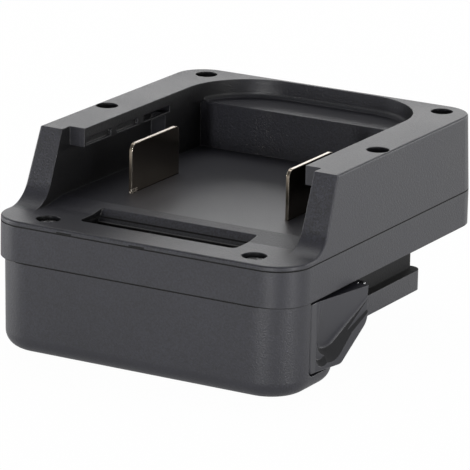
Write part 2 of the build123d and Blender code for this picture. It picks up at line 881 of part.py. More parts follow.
left_button_spring.part.label = "left_button_spring"
export_step(left_button_spring.part, "parts/left_button_spring.step")


# Circuit board under the bay floor
with BuildPart() as circuit_board:
    with BuildSketch(Plane.XY.offset(board_bottom)):
        with Locations((0, (board_front + board_back) / 2)):
            RectangleRounded(2 * board_half_width, board_back - board_front, board_corner)
    extrude(amount=board_thickness)
    for side in (-1, 1):
        for hole_y in (board_front + board_post_inset, board_back - board_post_inset):
            post(
                side * board_post_x, hole_y, board_bottom, board_top, board_screw_radius + fit_gap,
                Mode.SUBTRACT,
            )
        tab_half = blade_thickness / 2 + fit_gap
        for tab_y in (blade_front + blade_tab_inset, blade_back - blade_tab_inset):
            block(
                side * blade_x - tab_half, side * blade_x + tab_half,
                tab_y - blade_tab_width / 2 - fit_gap, tab_y + blade_tab_width / 2 + fit_gap,
                board_bottom, board_top, Mode.SUBTRACT,
            )

circuit_board.part.label = "circuit_board"
export_step(circuit_board.part, "parts/circuit_board.step")


# Control chip on the underside of the board
with BuildPart() as control_chip:
    block(
        -chip_size / 2, chip_size / 2, chip_y - chip_size / 2, chip_y + chip_size / 2,
        board_bottom - chip_height, board_bottom,
    )

control_chip.part.label = "control_chip"
export_step(control_chip.part, "parts/control_chip.step")


# Pair of power transistors beside the chip
with BuildPart() as power_transistors:
    for side in (-1, 1):
        middle_x = side * transistor_x
        block(
            middle_x - transistor_width / 2, middle_x + transistor_width / 2,
            chip_y - transistor_length / 2, chip_y + transistor_length / 2,
            board_bottom - transistor_height, board_bottom,
        )

power_transistors.part.label = "power_transistors"
export_step(power_transistors.part, "parts/power_transistors.step")


# Contact blade on the right, with two tabs through the board
with BuildPart() as right_blade:
    with BuildSketch(Plane.YZ.offset(blade_x)) as blade_outline:
        with BuildLine():
            Polyline(
                (blade_front, board_top),
                (blade_back, board_top),
                (blade_back, blade_top),
                (blade_front, blade_top),
                close=True,
            )
        make_face()
        for corner_y in (blade_front, blade_back):
            fillet(blade_outline.vertices().sort_by_distance((corner_y, blade_top))[0], blade_corner)
    extrude(amount=blade_thickness / 2, both=True)
    for tab_y in (blade_front + blade_tab_inset, blade_back - blade_tab_inset):
        block(
            blade_x - blade_thickness / 2, blade_x + blade_thickness / 2, tab_y - blade_tab_width / 2,
            tab_y + blade_tab_width / 2, board_bottom - blade_thickness, board_top,
        )

right_blade.part.label = "right_blade"
export_step(right_blade.part, "parts/right_blade.step")


# Contact blade on the left
with BuildPart() as left_blade:
    mirror(right_blade.part, about=Plane.YZ)

left_blade.part.label = "left_blade"
export_step(left_blade.part, "parts/left_blade.step")


# Moulded carrier that holds both blades upright between the board and the casing
with BuildPart() as blade_carrier:
    block(
        -carrier_half_width, carrier_half_width, blade_front - carrier_end_wall,
        blade_back + carrier_end_wall, board_top, bay_underside,
    )
    for side in (-1, 1):
        slot_half = blade_thickness / 2 + solder_gap
        block(
            side * blade_x - slot_half, side * blade_x + slot_half, blade_front, blade_back,
            board_top, bay_underside, Mode.SUBTRACT,
        )

blade_carrier.part.label = "blade_carrier"
export_step(blade_carrier.part, "parts/blade_carrier.step")


# Block in the rail with a cell for each output contact
with BuildPart() as contact_block:
    block(
        -rail_hollow_half_width + fit_gap, rail_hollow_half_width - fit_gap, contact_block_front,
        contact_block_back, rail_floor, contact_block_top,
    )
    for cell_x in (-power_slot_x, -signal_slot_x, signal_slot_x, power_slot_x):
        block(
            cell_x - contact_cell_width / 2, cell_x + contact_cell_width / 2, contact_cell_front,
            contact_block_back, rail_floor, cell_ceiling, Mode.SUBTRACT,
        )
        block(
            cell_x - fork_tab_width / 2 - fit_gap, cell_x + fork_tab_width / 2 + fit_gap,
            fork_front - fit_gap, fork_front + fork_thickness + fit_gap,
            cell_ceiling, contact_block_top, Mode.SUBTRACT,
        )

contact_block.part.label = "contact_block"
export_step(contact_block.part, "parts/contact_block.step")


# Forked output contacts: two sprung leaves that narrow to a mouth, and a tab for the lead
def fork_points(x):
    half = fork_width / 2
    mouth = fork_mouth / 2
    right_side = [
        (half, cell_ceiling),
        (half, cell_ceiling - fork_shoulder),
        (mouth + fork_thickness, rail_floor + fork_mouth_height),
        (mouth + 2 * fork_thickness, rail_floor + fork_thickness),
        (mouth + fork_thickness, rail_floor + fork_thickness),
        (mouth, rail_floor + fork_mouth_height),
        (half - fork_thickness, cell_ceiling - fork_shoulder),
        (half - fork_thickness, cell_ceiling - fork_thickness),
    ]
    left_side = [(-point_x, point_z) for point_x, point_z in reversed(right_side)]
    return [(x + point_x, point_z) for point_x, point_z in right_side + left_side]


def fork_tab(x):
    block(
        x - fork_tab_width / 2, x + fork_tab_width / 2, fork_front, fork_front + fork_thickness,
        cell_ceiling - fork_thickness, lead_height + fork_tab_width / 2,
    )


with BuildPart() as right_output_contact:
    with BuildSketch(Plane.XZ.offset(-fork_front)):
        with BuildLine():
            Polyline(*fork_points(power_slot_x), close=True)
        make_face()
    extrude(amount=-fork_length)
    fork_tab(power_slot_x)

right_output_contact.part.label = "right_output_contact"
export_step(right_output_contact.part, "parts/right_output_contact.step")

with BuildPart() as left_output_contact:
    mirror(right_output_contact.part, about=Plane.YZ)

left_output_contact.part.label = "left_output_contact"
export_step(left_output_contact.part, "parts/left_output_contact.step")

with BuildPart() as signal_contacts:
    for contact_x in (-signal_slot_x, signal_slot_x):
        with BuildSketch(Plane.XZ.offset(-fork_front)):
            with BuildLine():
                Polyline(*fork_points(contact_x), close=True)
            make_face()
        extrude(amount=-signal_fork_length)
        fork_tab(contact_x)

signal_contacts.part.label = "signal_contacts"
export_step(signal_contacts.part, "parts/signal_contacts.step")


# Insulated leads from the contacts' tabs to the underside of the board
def lead_points(x):
    return [
        (x, fork_front - solder_gap, lead_height),
        (x, lead_rise_y, lead_height),
        (x, lead_rise_y, board_bottom - solder_gap),
    ]


with BuildPart() as right_lead:
    with BuildLine() as right_run:
        FilletPolyline(*lead_points(power_slot_x), radius=lead_bend_radius)
    with BuildSketch(Plane(origin=right_run.line @ 0, z_dir=right_run.line % 0)):
        Circle(power_lead_diameter / 2)
    sweep(path=right_run.line)

right_lead.part.label = "right_lead"
export_step(right_lead.part, "parts/right_lead.step")

with BuildPart() as left_lead:
    mirror(right_lead.part, about=Plane.YZ)

left_lead.part.label = "left_lead"
export_step(left_lead.part, "parts/left_lead.step")

with BuildPart() as signal_leads:
    for contact_x in (-signal_slot_x, signal_slot_x):
        with BuildLine() as signal_run:
            FilletPolyline(*lead_points(contact_x), radius=lead_bend_radius)
        with BuildSketch(Plane(origin=signal_run.line @ 0, z_dir=signal_run.line % 0)):
            Circle(signal_lead_diameter / 2)
        sweep(path=signal_run.line)

signal_leads.part.label = "signal_leads"
export_step(signal_leads.part, "parts/signal_leads.step")


# Screws: two through the deck, two in the wall tops, two at the rear, two in the box, four in the board
def screw_pair(x, y, head_top, length):
    for side in (-1, 1):
        screw(side * x, y, head_top, length, screw_head_radius, screw_head_height, screw_shank_radius)


with BuildPart() as deck_screws:
    screw_pair(deck_screw_x, deck_screw_y, deck_top - deck_screw_sink, deck_screw_length)

deck_screws.part.label = "deck_screws"
export_step(deck_screws.part, "parts/deck_screws.step")

with BuildPart() as wall_screws:
    screw_pair(wall_screw_x, wall_screw_y, wall_top - top_screw_sink, top_screw_length)

wall_screws.part.label = "wall_screws"
export_step(wall_screws.part, "parts/wall_screws.step")

with BuildPart() as rear_screws:
    screw_pair(rear_screw_x, rear_screw_y, wall_top - top_screw_sink, top_screw_length)

rear_screws.part.label = "rear_screws"
export_step(rear_screws.part, "parts/rear_screws.step")

with BuildPart() as box_screws:
    for side in (-1, 1):
        screw_x = side * box_screw_x
        shank_end = band_floor - box_screw_cone_height - box_screw_length
        countersink(screw_x, box_screw_y, band_floor, 0)
        post(screw_x, box_screw_y, shank_end, band_floor - box_screw_cone_height, screw_shank_radius)
        for half_x, half_y in ((cross_length, cross_width), (cross_width, cross_length)):
            block(
                screw_x - half_x / 2, screw_x + half_x / 2, box_screw_y - half_y / 2,
                box_screw_y + half_y / 2, band_floor - cross_depth, band_floor, Mode.SUBTRACT,
            )

box_screws.part.label = "box_screws"
export_step(box_screws.part, "parts/box_screws.step")

with BuildPart() as board_screws:
    for side in (-1, 1):
        for screw_y in (board_front + board_post_inset, board_back - board_post_inset):
            screw(
                side * board_post_x, screw_y, board_top + board_screw_head_height, board_screw_length,
                board_screw_head_radius, board_screw_head_height, board_screw_radius,
            )

board_screws.part.label = "board_screws"
export_step(board_screws.part, "parts/board_screws.step")
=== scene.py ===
import math

import bpy
from mathutils import Matrix, Vector


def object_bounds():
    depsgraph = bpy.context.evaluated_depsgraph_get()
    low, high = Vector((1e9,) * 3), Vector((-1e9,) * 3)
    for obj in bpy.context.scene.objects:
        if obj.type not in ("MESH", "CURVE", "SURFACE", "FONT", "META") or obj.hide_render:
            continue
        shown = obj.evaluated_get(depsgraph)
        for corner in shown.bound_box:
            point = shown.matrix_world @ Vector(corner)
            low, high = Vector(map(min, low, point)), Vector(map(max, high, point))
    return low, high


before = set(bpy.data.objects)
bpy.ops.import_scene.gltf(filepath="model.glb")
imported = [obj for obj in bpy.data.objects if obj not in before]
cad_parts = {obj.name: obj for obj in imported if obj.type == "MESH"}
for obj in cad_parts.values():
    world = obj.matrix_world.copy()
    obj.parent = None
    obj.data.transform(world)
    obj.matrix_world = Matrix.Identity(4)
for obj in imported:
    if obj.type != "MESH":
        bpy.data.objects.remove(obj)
cad_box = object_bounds()


# Camera
# A long lens about a metre away, to the right of the open front and a little above the deck.
# It leans by about a degree, as a hand-levelled camera does.
photo_width = 470
sensor_width = 36.0
focal_pixels = 4224.2
aim = Vector((0, 0.0042, 0.0313))
camera_azimuth = math.radians(29.577)
camera_elevation = math.radians(16.078)
camera_lean = math.radians(1.1435)
camera_distance = 0.9813
camera_slide = -0.00294
camera_lift = -0.00971
nearest_seen = 0.05
farthest_seen = 20
away = Vector((
    math.sin(camera_azimuth) * math.cos(camera_elevation),
    -math.cos(camera_azimuth) * math.cos(camera_elevation),
    math.sin(camera_elevation),
))
level_right = Vector((math.cos(camera_azimuth), math.sin(camera_azimuth), 0))
level_up = away.cross(level_right)
picture_right = level_right * math.cos(camera_lean) + level_up * math.sin(camera_lean)
picture_up = level_up * math.cos(camera_lean) - level_right * math.sin(camera_lean)
camera_place = aim + away * camera_distance + picture_right * camera_slide + picture_up * camera_lift
camera_data = bpy.data.cameras.new("studio_camera")
camera_data.sensor_width = sensor_width
camera_data.lens = focal_pixels / photo_width * sensor_width
camera_data.clip_start = nearest_seen
camera_data.clip_end = farthest_seen
camera = bpy.data.objects.new("studio_camera", camera_data)
bpy.context.scene.collection.objects.link(camera)
turn = Matrix((picture_right, picture_up, away)).transposed().to_4x4()
camera.matrix_world = Matrix.Translation(camera_place) @ turn
bpy.context.scene.camera = camera


# Studio
# A pale table under wide soft lights. Three low strip lights draw the bright lines down the
# rounded corners. The room is white low down, greyer towards its ceiling, and dimmer in front
# of the object than behind it.
def soft_light(name, place, target, width, height, strength):
    light = bpy.data.lights.new(name, "AREA")
    light.shape = "RECTANGLE"
    light.size = width
    light.size_y = height
    light.energy = strength
    lamp = bpy.data.objects.new(name, light)
    bpy.context.scene.collection.objects.link(lamp)
    lamp.location = place
    lamp.rotation_euler = (Vector(target) - Vector(place)).to_track_quat("-Z", "Y").to_euler()


def add_node(tree, kind, settings=None, values=None):
    node = tree.nodes.new(kind)
    for name, value in (settings or {}).items():
        setattr(node, name, value)
    for name, value in (values or {}).items():
        if isinstance(value, bpy.types.NodeSocket):
            tree.links.new(value, node.inputs[name])
        else:
            node.inputs[name].default_value = value
    return node


def calculate(tree, operation, *values):
    numbered_values = dict(enumerate(values))
    return add_node(tree, "ShaderNodeMath", {"operation": operation}, numbered_values).outputs[0]


def fade(tree, value, start, end, first, last, curve="LINEAR"):
    limits = {"Value": value, "From Min": start, "From Max": end, "To Min": first, "To Max": last}
    node = add_node(tree, "ShaderNodeMapRange", {"interpolation_type": curve}, limits)
    return node.outputs["Result"]


lit_point = (0, 0, 0.03)
soft_light("overhead_softbox", (-0.2, 0.35, 0.95), lit_point, width=0.7, height=0.6, strength=3.6)
soft_light("rear_softbox", (-0.55, 0.95, 0.4), lit_point, width=0.9, height=0.3, strength=1.8)
soft_light("right_panel", (0.5, 0.87, 0.13), lit_point, width=0.7, height=0.22, strength=1.6)
strip_distance = 0.55
strip_height = 0.055
for strip_name, strip_turn in (("front_strip", 11), ("right_strip", 73), ("left_strip", -67)):
    strip_place = (
        strip_distance * math.sin(math.radians(strip_turn)),
        -strip_distance * math.cos(math.radians(strip_turn)),
        strip_height,
    )
    soft_light(strip_name, strip_place, lit_point, width=0.04, height=0.11, strength=1.0)

world = bpy.data.worlds.new("white_room")
bpy.context.scene.world = world
world.use_nodes = True
room = world.node_tree
room_direction = add_node(room, "ShaderNodeTexCoord").outputs["Generated"]
room_axes = add_node(room, "ShaderNodeSeparateXYZ", None, {"Vector": room_direction})
ceiling_share = fade(room, room_axes.outputs["Z"], 0.2, 0.6, 1.0, 0.3, "SMOOTHSTEP")
front_share = fade(room, room_axes.outputs["Y"], -0.6, 0.3, 0.7, 1.0, "SMOOTHSTEP")
room_strength = calculate(room, "MULTIPLY", ceiling_share, front_share)
room_light = room.nodes["Background"]
room_light.inputs["Color"].default_value = (1, 1, 1, 1)
room.links.new(room_strength, room_light.inputs["Strength"])

# The table shows itself nearly white to the camera and in mirror images, and keeps the object's
# shadow. It is clear from below, so that the underside can be seen.
table_half = 3.0
table_gap = 0.0002
table_mesh = bpy.data.meshes.new("table_top")
table_corners = [
    (-table_half, -table_half, 0),
    (table_half, -table_half, 0),
    (table_half, table_half, 0),
    (-table_half, table_half, 0),
]
table_mesh.from_pydata(table_corners, [], [(0, 1, 2, 3)])
table = bpy.data.objects.new("table_top", table_mesh)
bpy.context.scene.collection.objects.link(table)
table.location.z = cad_box[0][2] - table_gap
table_paint = bpy.data.materials.new("table_paint")
table_paint.use_nodes = True
table_tree = table_paint.node_tree
table_finish = table_tree.nodes["Principled BSDF"]
table_finish.inputs["Base Color"].default_value = (0.97, 0.97, 0.97, 1)
table_finish.inputs["Roughness"].default_value = 0.9
table_finish.inputs["Specular IOR Level"].default_value = 0.1
table_glow = add_node(
    table_tree, "ShaderNodeEmission", None, {"Color": (1, 1, 1, 1), "Strength": 1.0}
)
table_rays = add_node(table_tree, "ShaderNodeLightPath")
seen_glow = 0.98
mirrored_glow = 0.45
glow_share = calculate(table_tree, "MULTIPLY", table_rays.outputs["Is Camera Ray"], seen_glow)
for ray_name in ("Is Glossy Ray", "Is Transmission Ray"):
    glow_share = calculate(
        table_tree, "MULTIPLY_ADD", table_rays.outputs[ray_name], mirrored_glow, glow_share
    )
table_upper_side = add_node(
    table_tree, "ShaderNodeMixShader", None,
    {"Fac": glow_share, 1: table_finish.outputs["BSDF"], 2: table_glow.outputs["Emission"]},
)
table_lower_side = add_node(table_tree, "ShaderNodeBsdfTransparent")
table_facing = add_node(table_tree, "ShaderNodeNewGeometry")
table_sides = add_node(
    table_tree, "ShaderNodeMixShader", None,
    {
        "Fac": table_facing.outputs["Backfacing"],
        1: table_upper_side.outputs["Shader"],
        2: table_lower_side.outputs["BSDF"],
    },
)
table_output = table_tree.nodes["Material Output"]
table_tree.links.new(table_sides.outputs["Shader"], table_output.inputs["Surface"])
table_mesh.materials.append(table_paint)

bpy.context.scene.view_settings.view_transform = "Standard"


# Casings and front box
# Three mouldings of charcoal nylon, with a fine spark-eroded grain and soft moulded edges.
# They are screwed together through the deck and the wall tops, with a thin shadow line between.
def start_group(name, inputs, outputs):
    group = bpy.data.node_groups.new(name, "ShaderNodeTree")
    for socket_name, socket_kind, value in inputs:
        socket = group.interface.new_socket(socket_name, in_out="INPUT", socket_type=socket_kind)
        socket.default_value = value
    for socket_name, socket_kind in outputs:
        group.interface.new_socket(socket_name, in_out="OUTPUT", socket_type=socket_kind)
    return group, group.nodes.new("NodeGroupInput"), group.nodes.new("NodeGroupOutput")


def noise(tree, place, scale, detail, roughness=0.5):
    settings = {"Vector": place, "Scale": scale, "Detail": detail, "Roughness": roughness}
    return add_node(tree, "ShaderNodeTexNoise", None, settings).outputs["Fac"]


def agreement(tree, direction, other_direction):
    node = add_node(
        tree, "ShaderNodeVectorMath", {"operation": "DOT_PRODUCT"}, {0: direction, 1: other_direction}
    )
    return node.outputs["Value"]


def scaled(tree, colour, share):
    node = add_node(
        tree, "ShaderNodeVectorMath", {"operation": "SCALE"}, {"Vector": colour, "Scale": share}
    )
    return node.outputs["Vector"]


def mixed(tree, share, first, second):
    node = add_node(
        tree, "ShaderNodeMix", {"data_type": "RGBA"}, {"Factor": share, "A": first, "B": second}
    )
    return node.outputs["Result"]


def moulded_grain_group():
    group, given, result = start_group(
        "moulded_grain",
        [
            ("Tone", "NodeSocketColor", (0.04, 0.04, 0.04, 1)),
            ("Grain Size", "NodeSocketFloat", 0.0004),
            ("Contrast", "NodeSocketFloat", 0.2),
            ("Roughness", "NodeSocketFloat", 0.5),
            ("Unevenness", "NodeSocketFloat", 0.12),
        ],
        [("Color", "NodeSocketColor"), ("Roughness", "NodeSocketFloat"), ("Height", "NodeSocketFloat")],
    )
    clouds_per_metre = 45.0
    place = add_node(group, "ShaderNodeTexCoord").outputs["Object"]
    grains_per_metre = calculate(group, "DIVIDE", 1.0, given.outputs["Grain Size"])
    grain = noise(group, place, grains_per_metre, detail=3.0, roughness=0.6)
    cloud = noise(group, place, clouds_per_metre, detail=4.0, roughness=0.55)
    darkest = calculate(group, "SUBTRACT", 1.0, given.outputs["Contrast"])
    lightest = calculate(group, "ADD", 1.0, given.outputs["Contrast"])
    grain_share = fade(group, grain, 0.32, 0.68, darkest, lightest)
    cloud_share = fade(group, cloud, 0.3, 0.7, 0.88, 1.12)
    both_shares = calculate(group, "MULTIPLY", grain_share, cloud_share)
    shaded = scaled(group, given.outputs["Tone"], both_shares)
    uneven = calculate(
        group, "MULTIPLY_ADD", cloud, given.outputs["Unevenness"], given.outputs["Roughness"]
    )
    group.links.new(shaded, result.inputs["Color"])
    group.links.new(uneven, result.inputs["Roughness"])
    group.links.new(grain, result.inputs["Height"])
    return group


# Lighter patches along the edges: partly wear, partly painted highlight where the edges catch light.
def edge_wear_and_sheen_group():
    group, given, result = start_group(
        "edge_wear_and_sheen",
        [("Reach", "NodeSocketFloat", 0.0003), ("Amount", "NodeSocketFloat", 1.0)],
        [("Worn And Sheen", "NodeSocketFloat"), ("Rounded", "NodeSocketVector")],
    )
    patches_per_metre = 260.0
    bevel = add_node(group, "ShaderNodeBevel", {"samples": 6}, {"Radius": given.outputs["Reach"]})
    rounded = bevel.outputs["Normal"]
    unrounded = add_node(group, "ShaderNodeNewGeometry").outputs["Normal"]
    flatness = agreement(group, rounded, unrounded)
    place = add_node(group, "ShaderNodeTexCoord").outputs["Object"]
    patches = noise(group, place, patches_per_metre, detail=3.0)
    worn_and_lit = fade(group, flatness, 0.99, 0.8, 0.0, 1.0)
    patchy = calculate(group, "MULTIPLY", worn_and_lit, patches)
    amount = add_node(
        group, "ShaderNodeMath", {"operation": "MULTIPLY", "use_clamp": True},
        {0: patchy, 1: given.outputs["Amount"]},
    )
    group.links.new(amount.outputs[0], result.inputs["Worn And Sheen"])
    group.links.new(rounded, result.inputs["Rounded"])
    return group


# Painted shade: the colour darkens in recesses, where ambient occlusion finds little open space; the
# roughness falls there too.
def recess_shade_group():
    group, given, result = start_group(
        "recess_shade",
        [("Reach", "NodeSocketFloat", 0.01), ("Depth", "NodeSocketFloat", 0.35)],
        [("Open", "NodeSocketFloat"), ("Roughness Share", "NodeSocketFloat")],
    )
    nearby = add_node(
        group, "ShaderNodeAmbientOcclusion", {"samples": 8, "only_local": True},
        {"Distance": given.outputs["Reach"]},
    )
    openness = fade(group, nearby.outputs["AO"], 0.25, 0.85, given.outputs["Depth"], 1.0)
    roughness_share = fade(group, nearby.outputs["AO"], 0.25, 0.7, 0.75, 1.0)
    group.links.new(openness, result.inputs["Open"])
    group.links.new(roughness_share, result.inputs["Roughness Share"])
    return group


moulded_grain = moulded_grain_group()
edge_wear_and_sheen = edge_wear_and_sheen_group()
recess_shade = recess_shade_group()


def plastic(name, tone, edge_wear_and_sheen_tone, grain_size, grain_depth, roughness, contrast=0.2, recess=0.01):
    edge_reach = 0.0003
    edge_amount = 0.9
    material = bpy.data.materials.new(name)
    material.use_nodes = True
    tree = material.node_tree
    surface = tree.nodes["Principled BSDF"]
    surface.inputs["Specular IOR Level"].default_value = 0.6
    grain = add_node(
        tree, "ShaderNodeGroup", {"node_tree": moulded_grain, "name": "grain"},
        {"Tone": tone, "Grain Size": grain_size, "Contrast": contrast, "Roughness": roughness},
    )
    edge_wear_and_sheen_node = add_node(
        tree, "ShaderNodeGroup", {"node_tree": edge_wear_and_sheen}, {"Reach": edge_reach, "Amount": edge_amount}
    )
    # The edges take the lighter tone in patches, partly wear and partly painted highlight.
    colour = mixed(tree, edge_wear_and_sheen_node.outputs["Worn And Sheen"], grain.outputs["Color"], edge_wear_and_sheen_tone)
    bump = add_node(
        tree, "ShaderNodeBump", {"name": "grain_relief"},
        {
            "Strength": 0.5, "Distance": grain_depth, "Height": grain.outputs["Height"],
            "Normal": edge_wear_and_sheen_node.outputs["Rounded"],
        },
    )
    # Painted shade darkens the colour in recesses.
    recess_shade_node = add_node(tree, "ShaderNodeGroup", {"node_tree": recess_shade}, {"Reach": recess})
    shaded = scaled(tree, colour, recess_shade_node.outputs["Open"])
    smoothed = calculate(
        tree, "MULTIPLY", grain.outputs["Roughness"], recess_shade_node.outputs["Roughness Share"]
    )
    tree.links.new(shaded, surface.inputs["Base Color"])
    tree.links.new(smoothed, surface.inputs["Roughness"])
    tree.links.new(bump.outputs["Normal"], surface.inputs["Normal"])
    return material


def source_of(socket):
    return socket.links[0].from_socket


def dress(material, *node_names):
    for node_name in node_names:
        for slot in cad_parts[node_name].material_slots:
            slot.material = material


casing_plastic = plastic(
    "casing_plastic", tone=(0.0112, 0.0114, 0.0172, 1), edge_wear_and_sheen_tone=(0.07, 0.07, 0.08, 1),
    grain_size=0.00045, grain_depth=0.00012, roughness=0.38, contrast=0.3, recess=0.008
)
casing_tree = casing_plastic.node_tree
casing_surface = casing_tree.nodes["Principled BSDF"]
casing_coordinates = add_node(casing_tree, "ShaderNodeTexCoord")
casing_place = casing_coordinates.outputs["Object"]
casing_facing = casing_coordinates.outputs["Normal"]
casing_point = add_node(casing_tree, "ShaderNodeSeparateXYZ", None, {"Vector": casing_place})
casing_normal = add_node(casing_tree, "ShaderNodeSeparateXYZ", None, {"Vector": casing_facing})

# The leaning wall ends and the entry slope come from a coarser patch of the mould, so their grain
# is stronger than on the flat faces.
slope_facing = (0, -0.927, 0.375)
leaning = agreement(casing_tree, casing_facing, slope_facing)
patch_contrast = fade(casing_tree, leaning, 0.9, 0.99, 0.3, 0.9)
patch_relief = fade(casing_tree, leaning, 0.9, 0.99, 0.6, 0.8)
casing_tree.links.new(patch_contrast, casing_tree.nodes["grain"].inputs["Contrast"])
casing_tree.links.new(patch_relief, casing_tree.nodes["grain_relief"].inputs["Strength"])


# The side walls inside the receiver, the deck pocket and the neck behind the box are painted
# almost black as painted shade, and the neck is matt.
def inside_box(tree, place, box_middle, half_size):
    offset = add_node(
        tree, "ShaderNodeVectorMath", {"operation": "SUBTRACT"}, {0: place, 1: box_middle}
    )
    distance = add_node(
        tree, "ShaderNodeVectorMath", {"operation": "ABSOLUTE"}, {0: offset.outputs["Vector"]}
    )
    axes = add_node(tree, "ShaderNodeSeparateXYZ", None, {"Vector": distance.outputs["Vector"]})
    inside = 1.0
    for axis_name, half in zip(("X", "Y", "Z"), half_size):
        within = calculate(tree, "LESS_THAN", axes.outputs[axis_name], half)
        inside = calculate(tree, "MULTIPLY", inside, within)
    return inside


pocket_middle = (0, -0.03295, 0.02635)
pocket_half = (0.0206, 0.00445, 0.00285)
neck_middle = (0, 0.0122, 0.01627)
neck_half = (0.0392, 0.0298, 0.00532)
neck_roughness = 0.9
deepest_shade_share = 0.12
outward_reach = calculate(
    casing_tree, "MULTIPLY", casing_point.outputs["X"], casing_normal.outputs["X"]
)
inner_wall = fade(casing_tree, outward_reach, -0.02, -0.01, 1.0, 0.0)
in_pocket = inside_box(casing_tree, casing_place, pocket_middle, pocket_half)
at_neck = inside_box(casing_tree, casing_place, neck_middle, neck_half)
shaded_places = calculate(casing_tree, "MAXIMUM", in_pocket, at_neck)
painted_shade = calculate(casing_tree, "MAXIMUM", inner_wall, shaded_places)
shade_share = fade(casing_tree, painted_shade, 0.0, 1.0, 1.0, deepest_shade_share)
plain_colour = source_of(casing_surface.inputs["Base Color"])
casing_colour = scaled(casing_tree, plain_colour, shade_share)
matt_neck = calculate(casing_tree, "MULTIPLY", at_neck, neck_roughness)
plain_roughness = source_of(casing_surface.inputs["Roughness"])
casing_roughness = calculate(casing_tree, "MAXIMUM", plain_roughness, matt_neck)

# The parting lines between the mouldings are narrow grooves, painted black as painted shade.
parting_heights = (0.0216, 0.0301)
groove_core = 0.00014
groove_edge = 0.00023
steepest_upward = 0.8
groove_shade_tone = (0.001, 0.001, 0.001, 1)
groove_shade_mask = 0.0
for parting_height in parting_heights:
    height_off_line = calculate(casing_tree, "SUBTRACT", casing_point.outputs["Z"], parting_height)
    distance_off_line = calculate(casing_tree, "ABSOLUTE", height_off_line)
    groove = fade(casing_tree, distance_off_line, groove_core, groove_edge, 1.0, 0.0)
    groove_shade_mask = calculate(casing_tree, "MAXIMUM", groove_shade_mask, groove)
side_wall = calculate(casing_tree, "COMPARE", casing_normal.outputs["Z"], 0.0, steepest_upward)
groove_shade_mask = calculate(casing_tree, "MULTIPLY", groove_shade_mask, side_wall)

# Two short dashes of the line under the lip at the front are painted black as well.
dark_dash_height = 0.0303
dark_dash_half = (0.002, 0.0008, 0.0003)
for dark_dash_x in (-0.019, 0):
    dark_dash_middle = (dark_dash_x, cad_box[0][1], dark_dash_height)
    dark_dash = inside_box(casing_tree, casing_place, dark_dash_middle, dark_dash_half)
    groove_shade_mask = calculate(casing_tree, "MAXIMUM", groove_shade_mask, dark_dash)
grooved_colour = mixed(casing_tree, groove_shade_mask, casing_colour, groove_shade_tone)
grooved_roughness = calculate(casing_tree, "MAXIMUM", casing_roughness, groove_shade_mask)
casing_tree.links.new(grooved_colour, casing_surface.inputs["Base Color"])
casing_tree.links.new(grooved_roughness, casing_surface.inputs["Roughness"])
dress(casing_plastic, "upper_casing", "lower_casing", "front_box")


# Squeeze buttons
# One moulding each side, of the same nylon from a smoother mould, with a dish for the thumb.
# Each slides in its bay on a stem and is pushed out by a spring.
button_plastic = plastic(
    "button_plastic", tone=(0.0122, 0.0124, 0.018, 1), edge_wear_and_sheen_tone=(0.09, 0.09, 0.1, 1),
    grain_size=0.0004, grain_depth=0.00002, roughness=0.3, contrast=0.1, recess=0.006
)

# The steep wall along the dish's diagonal is matt and painted almost black as painted shade.
dish_wall_rise = 0.57
dish_wall_roughness = 0.85
dish_wall_shade_share = 0.2
button_tree = button_plastic.node_tree
button_surface = button_tree.nodes["Principled BSDF"]
button_facing = add_node(button_tree, "ShaderNodeTexCoord").outputs["Normal"]
button_normal = add_node(button_tree, "ShaderNodeSeparateXYZ", None, {"Vector": button_facing})
off_slope = calculate(button_tree, "SUBTRACT", button_normal.outputs["Z"], dish_wall_rise)
slope_error = calculate(button_tree, "ABSOLUTE", off_slope)
dish_wall = fade(button_tree, slope_error, 0.2, 0.28, 1.0, 0.0)
button_shade_share = fade(button_tree, dish_wall, 0.0, 1.0, 1.0, dish_wall_shade_share)
button_colour = scaled(
    button_tree, source_of(button_surface.inputs["Base Color"]), button_shade_share
)
matt_wall = calculate(button_tree, "MULTIPLY", dish_wall, dish_wall_roughness)
button_roughness = calculate(
    button_tree, "MAXIMUM", source_of(button_surface.inputs["Roughness"]), matt_wall
)
button_tree.links.new(button_colour, button_surface.inputs["Base Color"])
button_tree.links.new(button_roughness, button_surface.inputs["Roughness"])
dress(button_plastic, "left_button", "right_button")


